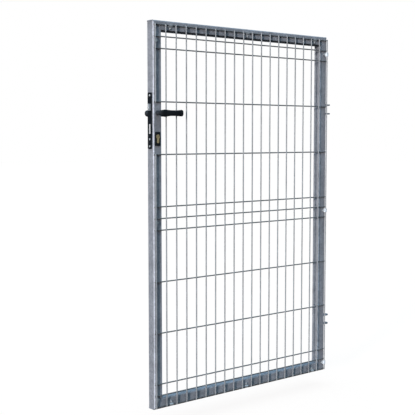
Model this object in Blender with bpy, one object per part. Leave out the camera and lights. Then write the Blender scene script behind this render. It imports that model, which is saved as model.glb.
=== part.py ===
"""Garden gate leaf: a square-tube frame with a welded wire mesh, an insert lock with
levers on both sides, and two pairs of hinge lugs.

Metres, +Z up. +X runs from the lock side to the hinge side, +Y from front to rear.
The origin lies on the underside of the lug that carries the leaf at the lower hinge.
"""
from math import acos, copysign, cos, degrees, pi, radians, sin

import bmesh
import bpy
from mathutils import Vector

# Leaf frame of square tube
LEAF_WIDTH = 0.961
LEAF_HEIGHT = 1.494
TUBE_SIDE = 0.040
TUBE_WALL = 0.002
TUBE_CORNER = 0.004
SEAT_GAP = 0.0003

# Welded wire mesh on the front face of the frame
WIRE = 0.005
WELD_SINK = 0.0004
UPRIGHT_WIRES = 20
MESH_LOCK_MARGIN = 0.005
MESH_HINGE_MARGIN = 0.006
MESH_TOP_MARGIN = 0.0155
MESH_BOTTOM_MARGIN = 0.0085
CLOSE_SPACING = 0.045
WIRE_OVERHANG = 0.0035

# Clips that hook over the outermost wires
CLIP_WIDTH = 0.016
CLIP_PLATE = 0.0015
CLIP_FOOT = 0.013
CLIP_FOOT_END = 0.008
CLIP_SHOULDER = 0.003
CLIP_LIP = 0.003
CLIP_BEND = 0.001
CLIP_LIFT = 0.0065

# Insert lock in the lock stile
HANDLE_DROP = 0.348
LOCK_SETBACK = 0.018
CYLINDER_DROP = 0.090
LOCK_WEB = 0.0022
LOCK_CLEARANCE = 0.006
FOREND_HEIGHT = 0.2135
FOREND_WIDTH = 0.025
FOREND_THICK = 0.003
FOREND_CORNER = 0.005
FOREND_EDGE = 0.0004
FOREND_TOP_MARGIN = 0.043
CASE_THICK = 0.020
CASE_DEPTH = 0.034
CASE_END_MARGIN = 0.0165
SPINDLE = 0.008
SPINDLE_BEARING = 0.0003

# Latch and dead bolt
LATCH_WIDTH = 0.016
LATCH_HEIGHT = 0.026
LATCH_OUT = 0.012
LATCH_NOSE = 0.003
LATCH_ROOT = 0.001
LATCH_TAIL = 0.010
LATCH_TRAVEL = 0.012
DEAD_WIDTH = 0.008
DEAD_HEIGHT = 0.037
DEAD_TAIL = 0.030
BOLT_EDGE = 0.0008

# Lever handles
NECK_DIAMETER = 0.020
LEVER_DEPTH = 0.036
LEVER_LENGTH = 0.102
HEAD_HEIGHT = 0.025
GRIP_HEIGHT = 0.0195
GRIP_THICK = 0.012
TIP_HEIGHT = 0.022
TIP_CORNER = 0.006
TIP_EDGE = 0.004
SOCKET_DEPTH = 0.016

# Euro profile cylinder
CYLINDER_RADIUS = 0.0085
CYLINDER_TALL = 0.033
CYLINDER_WEB = 0.010
CYLINDER_PROUD = 0.0015
PLUG_RADIUS = 0.0065
PLUG_LENGTH = 0.018
KEYWAY_WIDTH = 0.0016
KEYWAY_TALL = 0.0085
KEYWAY_DEPTH = 0.014
PLATE_WIDTH = 0.024
PLATE_HEIGHT = 0.053
PLATE_THICK = 0.004
PLATE_CORNER = 0.003
PLATE_EDGE = 0.001

# Hinge lugs on the outer face of the hinge stile
LUG_THICK = 0.006
LUG_WIDTH = 0.025
LUG_PIN_REACH = 0.027
LUG_HOLE = 0.0125
LUG_EDGE = 0.0006
LUG_SPACING = 0.0385
LUG_SEAT_REACH = 0.010
LOWER_SEAT_HEIGHT = 0.245
UPPER_SEAT_HEIGHT = 1.194

# Places that follow from the sizes above
leaf_right = -LUG_SEAT_REACH
leaf_left = leaf_right - LEAF_WIDTH
leaf_bottom = -LOWER_SEAT_HEIGHT
leaf_top = leaf_bottom + LEAF_HEIGHT
front_face = -TUBE_SIDE / 2
rear_face = TUBE_SIDE / 2
wire_corner = WIRE / 2 / cos(pi / 6)
rail_wire_y = front_face - SEAT_GAP - WIRE / 2
upright_wire_y = rail_wire_y - WIRE + WELD_SINK
mesh_left = leaf_left + MESH_LOCK_MARGIN
mesh_right = leaf_right - MESH_HINGE_MARGIN
mesh_top = leaf_top - MESH_TOP_MARGIN
mesh_bottom = leaf_bottom + MESH_BOTTOM_MARGIN
axis_x = leaf_left + LOCK_SETBACK
handle_z = leaf_top - HANDLE_DROP
cylinder_z = handle_z - CYLINDER_DROP
spindle_hole_radius = SPINDLE / 2 * 2 ** 0.5 + SPINDLE_BEARING
latch_z = handle_z + spindle_hole_radius + LOCK_WEB + LATCH_HEIGHT / 2
dead_z = cylinder_z + CYLINDER_RADIUS + SEAT_GAP + LOCK_WEB + DEAD_HEIGHT / 2
forend_top = latch_z + LATCH_HEIGHT / 2 + FOREND_TOP_MARGIN
forend_z = forend_top - FOREND_HEIGHT / 2
forend_back = leaf_left - SEAT_GAP
forend_front = forend_back - FOREND_THICK
case_height = FOREND_HEIGHT - 2 * CASE_END_MARGIN
profile_z = cylinder_z + CYLINDER_RADIUS - CYLINDER_TALL / 2


def clear_scene():
    for old in list(bpy.data.objects):
        bpy.data.objects.remove(old, do_unlink=True)


def make_material(name, colour, roughness, metallic):
    material = bpy.data.materials.new(name)
    material.use_nodes = True
    shader = material.node_tree.nodes["Principled BSDF"]
    shader.inputs["Base Color"].default_value = (*colour, 1.0)
    shader.inputs["Roughness"].default_value = roughness
    shader.inputs["Metallic"].default_value = metallic
    return material


# Shape helpers

def add_object(name, mesh_builder, material):
    mesh = bpy.data.meshes.new(name)
    bmesh.ops.recalc_face_normals(mesh_builder, faces=mesh_builder.faces)
    mesh_builder.to_mesh(mesh)
    mesh_builder.free()
    piece = bpy.data.objects.new(name, mesh)
    if material is not None:
        mesh.materials.append(material)
    bpy.context.scene.collection.objects.link(piece)
    return piece


def arc(centre_a, centre_b, radius, start, end, steps):
    """Points on an arc, both ends included, angles in degrees."""
    points = []
    for step in range(steps + 1):
        angle = radians(start + (end - start) * step / steps)
        points.append((centre_a + radius * cos(angle), centre_b + radius * sin(angle)))
    return points


def rounded_rectangle(width, height, radius, steps=3):
    a = width / 2 - radius
    b = height / 2 - radius
    points = arc(a, b, radius, 0, 90, steps)
    points += arc(-a, b, radius, 90, 180, steps)
    points += arc(-a, -b, radius, 180, 270, steps)
    points += arc(a, -b, radius, 270, 360, steps)
    return points


def prism(name, outline, axis, start, end, material=None):
    """Extrude an outline along X, Y or Z. The outline's two values are the other two
    axes in alphabetical order."""
    builder = bmesh.new()
    corners = []
    for a, b in outline:
        place = {"X": (start, a, b), "Y": (a, start, b), "Z": (a, b, start)}[axis]
        corners.append(builder.verts.new(place))
    base = builder.faces.new(corners)
    grown = bmesh.ops.extrude_face_region(builder, geom=[base])
    moved = [item for item in grown["geom"] if isinstance(item, bmesh.types.BMVert)]
    step = end - start
    shift = {"X": (step, 0, 0), "Y": (0, step, 0), "Z": (0, 0, step)}[axis]
    bmesh.ops.translate(builder, verts=moved, vec=shift)
    return add_object(name, builder, material)


def cut(piece, cutter):
    """Take the cutter's shape out of a piece."""
    modifier = piece.modifiers.new(cutter.name, "BOOLEAN")
    modifier.operation = "DIFFERENCE"
    modifier.object = cutter
    cutter.hide_render = True
    cutter.display_type = "WIRE"


def ease_edges(piece, width, segments=1):
    """Take the sharpness off a piece's edges, before anything is cut into it."""
    modifier = piece.modifiers.new("eased_edges", "BEVEL")
    modifier.width = width
    modifier.segments = segments
    modifier.limit_method = "ANGLE"
    modifier.angle_limit = radians(50)


def make_pivot(name, x, y, z):
    pivot = bpy.data.objects.new(name, None)
    pivot.location = (x, y, z)
    bpy.context.scene.collection.objects.link(pivot)
    return pivot


def loft(name, rings, material):
    """Skin a row of rings with equal numbers of points, and close both ends."""
    builder = bmesh.new()
    rows = []
    for ring in rings:
        rows.append([builder.verts.new(point) for point in ring])
    count = len(rings[0])
    for here, there in zip(rows, rows[1:]):
        for index in range(count):
            after = (index + 1) % count
            builder.faces.new((here[index], here[after], there[after], there[index]))
    builder.faces.new(rows[0])
    builder.faces.new(rows[-1])
    piece = add_object(name, builder, material)
    piece.data.shade_smooth()
    piece.data.set_sharp_from_angle(angle=radians(40))
    return piece


# Frame: four mitred tubes, open at their ends

def mitred_tube(name, corner, along, inward, length, material):
    """A tube from one outer corner of the leaf to the next. The mitre planes shorten it
    by as much as a point lies inward, and leave a weld gap."""
    outline = rounded_rectangle(TUBE_SIDE, TUBE_SIDE, TUBE_CORNER)
    bore_side = TUBE_SIDE - 2 * TUBE_WALL
    bore = rounded_rectangle(bore_side, bore_side, TUBE_CORNER - TUBE_WALL)
    gap = SEAT_GAP / 2 ** 0.5
    builder = bmesh.new()
    loops = []
    for profile in (outline, bore):
        near = []
        far = []
        for across, deep in profile:
            inset = TUBE_SIDE / 2 + across
            place = corner + inward * inset + Vector((0, deep, 0))
            near.append(builder.verts.new(place + along * (inset + gap)))
            far.append(builder.verts.new(place + along * (length - inset - gap)))
        loops.append((near, far))
    count = len(outline)
    for near, far in loops:
        for index in range(count):
            after = (index + 1) % count
            builder.faces.new((near[index], near[after], far[after], far[index]))
    for end in (0, 1):
        outer = loops[0][end]
        inner = loops[1][end]
        for index in range(count):
            after = (index + 1) % count
            builder.faces.new((outer[index], outer[after], inner[after], inner[index]))
    piece = add_object(name, builder, material)
    piece.data.shade_smooth()
    piece.data.set_sharp_from_angle(angle=radians(40))
    return piece


def make_frame(material):
    right = Vector((1, 0, 0))
    up = Vector((0, 0, 1))
    lower_left = Vector((leaf_left, 0, leaf_bottom))
    lower_right = Vector((leaf_right, 0, leaf_bottom))
    upper_left = Vector((leaf_left, 0, leaf_top))
    mitred_tube("top_rail", upper_left, right, -up, LEAF_WIDTH, material)
    mitred_tube("bottom_rail", lower_left, right, up, LEAF_WIDTH, material)
    mitred_tube("hinge_stile", lower_right, up, -right, LEAF_HEIGHT, material)
    return mitred_tube("lock_stile", lower_left, up, right, LEAF_HEIGHT, material)


# Wire mesh: upright wires in front, rail wires behind them, welded where they cross

def upright_wire_places():
    pitch = (mesh_right - mesh_left) / (UPRIGHT_WIRES - 1)
    return [mesh_left + pitch * index for index in range(UPRIGHT_WIRES)]


def rail_wire_places():
    """Heights from the bottom up: three groups of close wires and two pairs of open
    fields of three between them."""
    pattern = "CCOOOCCOOOCC"
    spare = mesh_top - mesh_bottom - pattern.count("C") * CLOSE_SPACING
    open_spacing = spare / pattern.count("O")
    heights = [mesh_bottom]
    for mark in pattern:
        step = CLOSE_SPACING if mark == "C" else open_spacing
        heights.append(heights[-1] + step)
    return heights


def add_wire(builder, start, end, across):
    """One six-sided wire with a flat to the front and a flat to the rear."""
    rings = []
    depth = Vector((0, 1, 0))
    for place in (start, end):
        ring = []
        for side in range(6):
            angle = pi / 3 * side
            offset = across * cos(angle) + depth * sin(angle)
            ring.append(builder.verts.new(place + offset * wire_corner))
        rings.append(ring)
    for side in range(6):
        after = (side + 1) % 6
        builder.faces.new((rings[0][side], rings[0][after], rings[1][after], rings[1][side]))
    builder.faces.new(rings[0])
    builder.faces.new(rings[1])


def make_mesh_panel(material):
    """The upright over the lock stile stops at the rail wires above and below the lock,
    and a rail wire that would cross the lock stops at the next upright."""
    heights = rail_wire_places()
    lock_top = handle_z + NECK_DIAMETER / 2 + LOCK_CLEARANCE
    lock_bottom = profile_z - PLATE_HEIGHT / 2 - LOCK_CLEARANCE
    above_lock = [z for z in heights if z > lock_top][0]
    below_lock = [z for z in heights if z < lock_bottom][-1]
    low = mesh_bottom - WIRE_OVERHANG
    high = mesh_top + WIRE_OVERHANG
    uprights = bmesh.new()
    places = upright_wire_places()
    for index, x in enumerate(places):
        spans = [(low, high)]
        if index == 0:
            spans = [(low, below_lock + WIRE_OVERHANG), (above_lock - WIRE_OVERHANG, high)]
        for bottom, top in spans:
            start = Vector((x, upright_wire_y, bottom))
            end = Vector((x, upright_wire_y, top))
            add_wire(uprights, start, end, Vector((1, 0, 0)))
    panel = add_object("mesh_panel", uprights, material)
    rails = bmesh.new()
    for z in heights:
        first = places[1] if lock_bottom < z < lock_top else places[0]
        start = Vector((first - WIRE_OVERHANG, rail_wire_y, z))
        end = Vector((mesh_right + WIRE_OVERHANG, rail_wire_y, z))
        add_wire(rails, start, end, Vector((0, 0, 1)))
    rail_wires = add_object("rail_wires", rails, None)
    rail_wires.hide_render = True
    rail_wires.display_type = "WIRE"
    weld = panel.modifiers.new("welds", "BOOLEAN")
    weld.operation = "UNION"
    weld.object = rail_wires


# Clips: a flat foot on the tube that narrows to its end, a step up beside the wire and a
# lip over it

def clip_outline(wire_height):
    """Section across the wire, from the underside of the foot's end round to its top.
    The wire's centre is at the first value 0, the tube's face at the second value 0."""
    reach = wire_corner + SEAT_GAP
    top = wire_height + WIRE / 2 + SEAT_GAP
    low = SEAT_GAP
    heel = -reach - CLIP_PLATE
    points = [(heel - CLIP_FOOT, low), (heel - CLIP_SHOULDER, low), (-reach, low)]
    points += [(-reach, top), (reach, top), (reach, top - CLIP_LIP)]
    crown = top + CLIP_PLATE
    toe = reach + CLIP_PLATE
    points += [(toe, top - CLIP_LIP), (toe, crown - CLIP_BEND), (toe - CLIP_BEND, crown)]
    points += [(heel + CLIP_BEND, crown), (heel, crown - CLIP_BEND)]
    points += [(heel, low + CLIP_PLATE), (heel - CLIP_SHOULDER, low + CLIP_PLATE)]
    points += [(heel - CLIP_FOOT, low + CLIP_PLATE)]
    return points


def make_clip(name, outline, centre, toward_wire, lengthwise, material):
    """toward_wire points from the foot to the wire, lengthwise along the wire."""
    builder = bmesh.new()
    outward = Vector((0, -1, 0))
    count = len(outline)
    rings = []
    for side in (-1, 1):
        ring = []
        for index, (across, out) in enumerate(outline):
            place = centre + toward_wire * across + outward * out
            width = CLIP_FOOT_END if index in (0, count - 1) else CLIP_WIDTH
            ring.append(builder.verts.new(place + lengthwise * side * width / 2))
        rings.append(ring)
    for index in range(count):
        after = (index + 1) % count
        builder.faces.new((rings[0][index], rings[0][after], rings[1][after], rings[1][index]))
    for ring in rings:
        builder.faces.new(ring[1:-1])
        builder.faces.new((ring[0], ring[1], ring[-2], ring[-1]))
    return add_object(name, builder, material)


def make_clips(material):
    right = Vector((1, 0, 0))
    up = Vector((0, 0, 1))
    rail_outline = clip_outline(front_face - rail_wire_y)
    stile_outline = clip_outline(front_face - upright_wire_y)
    wires = upright_wire_places()
    pitch = wires[1] - wires[0]
    middle_wire = wires[UPRIGHT_WIRES // 2]
    rail_places = {"lock": wires[1] + pitch / 2, "middle": middle_wire - pitch / 2,
                   "hinge": wires[-2] - pitch / 2}
    for side, x in rail_places.items():
        top = Vector((x, front_face, mesh_top))
        bottom = Vector((x, front_face, mesh_bottom))
        make_clip("top_clip_" + side, rail_outline, top, up, right, material)
        make_clip("bottom_clip_" + side, rail_outline, bottom, -up, right, material)
    heights = rail_wire_places()
    groups = {"low": heights[:2], "middle": heights[5:7], "high": heights[10:12]}
    for level, (below, above) in groups.items():
        z = (below + above) / 2 + CLIP_LIFT
        left = Vector((mesh_left, front_face, z))
        far = Vector((mesh_right, front_face, z))
        make_clip("lock_clip_" + level, stile_outline, left, -right, up, material)
        make_clip("hinge_clip_" + level, stile_outline, far, right, up, material)


# Euro profile: a round top with a straight web below and a round foot

def euro_profile(extra=0.0):
    """Outline round the cylinder axis as (x, z), grown by extra on every side."""
    radius = CYLINDER_RADIUS + extra
    half = CYLINDER_WEB / 2 + extra
    foot_z = CYLINDER_RADIUS - CYLINDER_TALL + CYLINDER_WEB / 2
    join = -degrees(acos(half / radius))
    points = arc(0, 0, radius, join, 180 - join, 16)
    points += arc(0, foot_z, half, 180, 360, 6)
    return points


def shifted(outline, x, z):
    return [(a + x, b + z) for a, b in outline]


# Insert lock: forend plate outside the stile, case inside it

def cut_lock_stile(stile):
    slot = rounded_rectangle(CASE_THICK + 2 * SEAT_GAP, case_height + 2 * SEAT_GAP, FOREND_CORNER / 5)
    reach = TUBE_WALL * 2
    mortise = prism("mortise", shifted(slot, 0, forend_z), "X", leaf_left - reach, leaf_left + reach)
    cut(stile, mortise)
    hole = arc(axis_x, handle_z, spindle_hole_radius + SEAT_GAP, 0, 345, 23)
    spindle_hole = prism("spindle_hole", hole, "Y", front_face - reach, rear_face + reach)
    cut(stile, spindle_hole)
    profile = shifted(euro_profile(SEAT_GAP), axis_x, cylinder_z)
    cylinder_hole = prism("cylinder_hole", profile, "Y", front_face - reach, rear_face + reach)
    cut(stile, cylinder_hole)


def make_forend(material):
    outline = rounded_rectangle(FOREND_WIDTH, FOREND_HEIGHT, FOREND_CORNER)
    forend = prism("lock_forend", shifted(outline, 0, forend_z), "X",
                   forend_front, forend_back, material)
    ease_edges(forend, FOREND_EDGE)
    windows = (("latch", LATCH_WIDTH, LATCH_HEIGHT, latch_z), ("dead", DEAD_WIDTH, DEAD_HEIGHT, dead_z))
    for name, width, height, z in windows:
        window = rounded_rectangle(width + 2 * SEAT_GAP, height + 2 * SEAT_GAP, SEAT_GAP, 1)
        reach = FOREND_THICK
        window_cut = prism(name + "_window", shifted(window, 0, z), "X",
                           forend_front - reach, forend_back + reach)
        cut(forend, window_cut)


def make_case(material):
    outline = rounded_rectangle(CASE_THICK, case_height, FOREND_CORNER / 5)
    case = prism("lock_case", shifted(outline, 0, forend_z), "X",
                 leaf_left, leaf_left + CASE_DEPTH, material)
    latch_stroke = LATCH_TAIL + LATCH_TRAVEL + SEAT_GAP
    pockets = (("latch_pocket", LATCH_WIDTH, LATCH_HEIGHT, latch_z, latch_stroke),
               ("dead_pocket", DEAD_WIDTH, DEAD_HEIGHT, dead_z, DEAD_TAIL + SEAT_GAP))
    for name, width, height, z, depth in pockets:
        pocket = rounded_rectangle(width + 2 * SEAT_GAP, height + 2 * SEAT_GAP, SEAT_GAP, 1)
        pocket_cut = prism(name, shifted(pocket, 0, z), "X", leaf_left - TUBE_WALL, leaf_left + depth)
        cut(case, pocket_cut)
    reach = CASE_THICK
    bearing = arc(axis_x, handle_z, spindle_hole_radius, 0, 345, 23)
    cut(case, prism("follower_bearing", bearing, "Y", -reach, reach))
    profile = shifted(euro_profile(SEAT_GAP), axis_x, cylinder_z)
    cut(case, prism("case_cylinder_hole", profile, "Y", -reach, reach))


# Bolts: each slides along X from a pivot at the forend's front face

def make_bolts(material):
    latch_pivot = make_pivot("latch_slide", forend_front, 0, latch_z)
    half = LATCH_WIDTH / 2
    tail = leaf_left + LATCH_TAIL - forend_front
    outline = [(-LATCH_OUT, -half), (tail, -half), (tail, half)]
    outline += [(-LATCH_ROOT, half), (-LATCH_OUT, -half + LATCH_NOSE)]
    latch = prism("latch_bolt", outline, "Z", -LATCH_HEIGHT / 2, LATCH_HEIGHT / 2, material)
    latch.parent = latch_pivot
    ease_edges(latch, BOLT_EDGE)
    dead_pivot = make_pivot("dead_bolt_slide", forend_front, 0, dead_z)
    half = DEAD_WIDTH / 2
    tail = leaf_left + DEAD_TAIL - forend_front
    outline = [(0, -half), (tail, -half), (tail, half), (0, half)]
    dead = prism("dead_bolt", outline, "Z", -DEAD_HEIGHT / 2, DEAD_HEIGHT / 2, material)
    dead.parent = dead_pivot
    ease_edges(dead, BOLT_EDGE)


# Levers: a round neck that turns into a flat grip with a thicker head and tip

def lever_stations():
    """Place along X, distance from the tube's face, direction angle, height and
    thickness of each section, from the neck's foot to the grip's tip."""
    line = LEVER_DEPTH - GRIP_THICK / 2
    turn = NECK_DIAMETER / 2 + GRIP_THICK / 4
    neck = NECK_DIAMETER
    stations = [(0, SEAT_GAP, 90, neck, neck), (0, line - turn, 90, neck, neck)]
    bend_steps = 6
    for step in range(1, bend_steps + 1):
        share = step / bend_steps
        angle = 90 * (1 - share)
        x = turn * (1 - sin(radians(angle)))
        out = line - turn * (1 - cos(radians(angle)))
        height = neck + (HEAD_HEIGHT - neck) * share
        thick = neck + (GRIP_THICK - neck) * share
        stations.append((x, out, angle, height, thick))
    head_end = turn + HEAD_HEIGHT / 4
    tip_start = LEVER_LENGTH - TIP_CORNER
    grip_steps = 6
    for step in range(grip_steps + 1):
        share = step / grip_steps
        head = max(0.0, 1 - 2.5 * share) ** 2
        flare = max(0.0, 2 * share - 1) ** 2
        height = GRIP_HEIGHT + (HEAD_HEIGHT - GRIP_HEIGHT) * head + (TIP_HEIGHT - GRIP_HEIGHT) * flare
        stations.append((head_end + (tip_start - head_end) * share, line, 0, height, GRIP_THICK))
    for angle in (30, 60, 90):
        x = tip_start + TIP_CORNER * sin(radians(angle))
        spare = 1 - cos(radians(angle))
        height = TIP_HEIGHT - 2 * TIP_CORNER * spare
        stations.append((x, line, 0, height, GRIP_THICK - 2 * TIP_EDGE * spare))
    return stations


def lever_ring(station, side, sides=20):
    """A rounded section, round at the neck and flatter along the grip. side is -1 for
    the front lever and 1 for the rear one."""
    x, out, angle, height, thick = station
    squareness = 0.7 + 0.3 * angle / 90
    lean = radians(angle)
    ring = []
    for index in range(sides):
        turn = 2 * pi * (index + 0.5) / sides
        across = copysign(abs(cos(turn)) ** squareness, cos(turn)) * thick / 2
        tall = copysign(abs(sin(turn)) ** squareness, sin(turn)) * height / 2
        place_out = TUBE_SIDE / 2 + out + across * cos(lean)
        ring.append((x - across * sin(lean), side * place_out, tall))
    return ring


def make_handle(black, steel):
    pivot = make_pivot("handle_axis", axis_x, 0, handle_z)
    for name, side in (("lever_front", -1), ("lever_rear", 1)):
        rings = [lever_ring(station, side) for station in lever_stations()]
        lever = loft(name, rings, black)
        lever.parent = pivot
        half = SPINDLE / 2 + SEAT_GAP
        square = [(-half, -half), (half, -half), (half, half), (-half, half)]
        foot = side * TUBE_SIDE / 2
        socket = prism(name + "_socket", square, "Y", foot, foot + side * SOCKET_DEPTH)
        socket.parent = pivot
        cut(lever, socket)
    reach = TUBE_SIDE / 2 + SOCKET_DEPTH - SEAT_GAP
    half = SPINDLE / 2
    square = [(-half, -half), (half, -half), (half, half), (-half, half)]
    spindle = prism("handle_spindle", square, "Y", -reach, reach, steel)
    spindle.parent = pivot


# Cylinder: body through the lock, a plug with a keyway at each end, plates round it

def make_cylinder(brass, black):
    end = TUBE_SIDE / 2 + SEAT_GAP + PLATE_THICK + CYLINDER_PROUD
    profile = shifted(euro_profile(), axis_x, cylinder_z)
    body = prism("cylinder_body", profile, "Y", -end, end, brass)
    sides = (("front", -1), ("rear", 1))
    for side_name, side in sides:
        pivot = make_pivot("plug_axis_" + side_name, axis_x, side * end, cylinder_z)
        bore = arc(0, 0, PLUG_RADIUS + SEAT_GAP, 0, 345, 23)
        bore_cut = prism("plug_bore_" + side_name, bore, "Y",
                         side * CYLINDER_PROUD, -side * (PLUG_LENGTH + SEAT_GAP))
        bore_cut.parent = pivot
        cut(body, bore_cut)
        barrel = arc(0, 0, PLUG_RADIUS, 0, 345, 23)
        plug = prism("cylinder_plug_" + side_name, barrel, "Y", 0, -side * PLUG_LENGTH, brass)
        plug.parent = pivot
        keyway = rounded_rectangle(KEYWAY_WIDTH, KEYWAY_TALL, KEYWAY_WIDTH / 4, 1)
        keyway_cut = prism("keyway_" + side_name, keyway, "Y",
                           side * CYLINDER_PROUD, -side * KEYWAY_DEPTH)
        keyway_cut.parent = pivot
        cut(plug, keyway_cut)
        outline = rounded_rectangle(PLATE_WIDTH, PLATE_HEIGHT, PLATE_CORNER)
        near = side * (TUBE_SIDE / 2 + SEAT_GAP)
        far = near + side * PLATE_THICK
        plate = prism("cylinder_plate_" + side_name, shifted(outline, axis_x, profile_z),
                      "Y", near, far, black)
        ease_edges(plate, PLATE_EDGE, 2)
        window = shifted(euro_profile(SEAT_GAP), axis_x, cylinder_z)
        window_cut = prism("plate_window_" + side_name, window, "Y",
                           near - side * PLATE_THICK, far + side * PLATE_THICK)
        cut(plate, window_cut)


# Hinge lugs: two pairs of drilled flat lugs with a round end, welded to the stile

def make_lug(name, seat_z, upward, material):
    radius = LUG_WIDTH / 2
    pin_x = leaf_right + LUG_PIN_REACH
    root_x = leaf_right + SEAT_GAP
    outline = [(root_x, -radius)]
    outline += arc(pin_x, 0, radius, -90, 90, 8)
    outline += [(root_x, radius)]
    lug = prism(name, outline, "Z", seat_z, seat_z + upward * LUG_THICK, material)
    ease_edges(lug, LUG_EDGE)
    hole = arc(pin_x, 0, LUG_HOLE / 2, 0, 337.5, 15)
    reach = LUG_THICK
    hole_cut = prism(name + "_hole", hole, "Z", seat_z - reach * 2, seat_z + reach * 2)
    cut(lug, hole_cut)


def make_lugs(material):
    eye_gap = LUG_SPACING - LUG_THICK
    for level, height in (("lower", LOWER_SEAT_HEIGHT), ("upper", UPPER_SEAT_HEIGHT)):
        seat = leaf_bottom + height
        make_lug(level + "_hinge_lug_above", seat, 1, material)
        make_lug(level + "_hinge_lug_below", seat - eye_gap, -1, material)


def build():
    clear_scene()
    galvanised = make_material("galvanised_steel", (0.32, 0.34, 0.37), 0.45, 0.9)
    clip_steel = make_material("clip_steel", (0.55, 0.56, 0.56), 0.35, 0.9)
    bolt_steel = make_material("bolt_steel", (0.50, 0.51, 0.53), 0.35, 0.9)
    black_paint = make_material("black_paint", (0.02, 0.021, 0.024), 0.4, 0.0)
    black_plastic = make_material("black_plastic", (0.012, 0.014, 0.016), 0.5, 0.0)
    brass = make_material("brass", (0.45, 0.38, 0.20), 0.4, 0.9)
    stile = make_frame(galvanised)
    cut_lock_stile(stile)
    make_mesh_panel(galvanised)
    make_clips(clip_steel)
    make_forend(black_paint)
    make_case(bolt_steel)
    make_bolts(bolt_steel)
    make_handle(black_plastic, bolt_steel)
    make_cylinder(brass, black_plastic)
    make_lugs(galvanised)


build()
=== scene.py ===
"""Looks of a garden gate leaf: galvanised square tube, a welded wire mesh clipped to its
front, an insert lock with levers and a profile cylinder, and two pairs of hinge lugs.

Metres, +Z up. +X runs from the lock side to the hinge side, +Y from front to rear. Places
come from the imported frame, so each piece sits where its solid does.
"""
from math import acos, copysign, cos, degrees, pi, radians, sin, tan

import bmesh
import bpy
from mathutils import Matrix, Vector


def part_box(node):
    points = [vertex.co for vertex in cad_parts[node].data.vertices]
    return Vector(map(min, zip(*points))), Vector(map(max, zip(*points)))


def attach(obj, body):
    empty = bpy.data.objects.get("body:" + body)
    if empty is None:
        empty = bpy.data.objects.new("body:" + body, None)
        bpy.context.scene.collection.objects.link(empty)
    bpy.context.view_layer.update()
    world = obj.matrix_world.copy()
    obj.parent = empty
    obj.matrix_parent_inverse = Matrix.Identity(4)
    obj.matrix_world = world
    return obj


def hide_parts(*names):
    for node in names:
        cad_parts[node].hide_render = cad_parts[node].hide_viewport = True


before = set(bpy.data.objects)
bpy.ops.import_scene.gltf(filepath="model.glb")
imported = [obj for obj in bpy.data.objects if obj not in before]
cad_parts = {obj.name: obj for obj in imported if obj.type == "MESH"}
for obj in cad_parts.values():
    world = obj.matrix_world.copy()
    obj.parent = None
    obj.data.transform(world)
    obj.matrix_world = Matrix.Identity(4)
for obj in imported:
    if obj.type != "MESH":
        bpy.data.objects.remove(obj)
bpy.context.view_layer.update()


# Frame: four lengths of 40 mm square steel tube, mitred at the corners, welded together
# and then hot-dip galvanised. The zinc sets in small crystals, each with its own grey.

TUBE_WALL = 0.002
TUBE_CORNER = 0.006
MITRE_GAP = 0.0002
CUT_GAP = 0.0003
CUT_PAST = 0.001
SLOT_CORNER = 0.001
SPINDLE_HOLE_RADIUS = 0.0063
PROFILE_WEB_SHARE = 10 / 17
ZINC_GREY = (0.315, 0.320, 0.350)
# Painted light on the tubes: a painted highlight along the upright tubes' rounded corners, and a
# painted shade along the rails' lower corners.
CORNER_PAINTED_LIGHT_GAIN = 1.7
LOWER_CORNER_PAINTED_SHADE = 0.6
ARC_STEPS = 8

leaf_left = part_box("lock_stile")[0].x
leaf_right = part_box("hinge_stile")[1].x
leaf_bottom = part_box("bottom_rail")[0].z
leaf_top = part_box("top_rail")[1].z
front_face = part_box("lock_stile")[0].y
rear_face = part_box("lock_stile")[1].y
tube_side = rear_face - front_face
spindle_low, spindle_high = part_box("handle_spindle")
cylinder_low, cylinder_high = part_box("cylinder_body")
axis_x = (spindle_low.x + spindle_high.x) / 2
handle_z = (spindle_low.z + spindle_high.z) / 2
profile_radius = (cylinder_high.x - cylinder_low.x) / 2
cylinder_z = cylinder_high.z - profile_radius


def arc(centre_a, centre_b, radius, start, end, steps):
    """Points on an arc, both ends included, angles in degrees."""
    points = []
    for step in range(steps + 1):
        angle = radians(start + (end - start) * step / steps)
        points.append((centre_a + radius * cos(angle), centre_b + radius * sin(angle)))
    return points


def circle(centre_a, centre_b, radius, sides=48):
    return arc(centre_a, centre_b, radius, 0, 360 - 360 / sides, sides - 1)


def rounded_rectangle(width, height, radius, steps=ARC_STEPS):
    """Four arcs joined by straight sides, each arc with one point more than its steps."""
    a = width / 2 - radius
    b = height / 2 - radius
    points = arc(a, b, radius, 0, 90, steps)
    points += arc(-a, b, radius, 90, 180, steps)
    points += arc(-a, -b, radius, 180, 270, steps)
    points += arc(a, -b, radius, 270, 360, steps)
    return points


def moved(outline, a, b):
    return [(x + a, y + b) for x, y in outline]


def box_outline(node, radius, gap=0.0, steps=ARC_STEPS):
    """A solid's outline as seen along X, with rounded corners and a gap all round."""
    low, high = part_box(node)
    outline = rounded_rectangle(high.y - low.y + 2 * gap, high.z - low.z + 2 * gap, radius, steps)
    return moved(outline, 0, (low.z + high.z) / 2)


def settle(piece):
    """Turns a piece's modifiers into plain mesh."""
    bpy.context.view_layer.update()
    evaluated = piece.evaluated_get(bpy.context.evaluated_depsgraph_get())
    plain = bpy.data.meshes.new_from_object(evaluated)
    piece.modifiers.clear()
    piece.data = plain
    piece.data.name = piece.name


def smooth_over(piece, sharp_angle):
    """Shades round parts smooth, and keeps the flat faces beside them flat."""
    piece.data.shade_smooth()
    piece.data.set_sharp_from_angle(angle=radians(sharp_angle))
    flatten = piece.modifiers.new("flat_faces", "WEIGHTED_NORMAL")
    flatten.keep_sharp = True
    settle(piece)


def make_piece(name, builder, sharp_angle=35):
    """A mesh object in the scene, with its faces outwards."""
    bmesh.ops.recalc_face_normals(builder, faces=builder.faces)
    mesh = bpy.data.meshes.new(name)
    builder.to_mesh(mesh)
    builder.free()
    piece = bpy.data.objects.new(name, mesh)
    bpy.context.scene.collection.objects.link(piece)
    smooth_over(piece, sharp_angle)
    return piece


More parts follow.
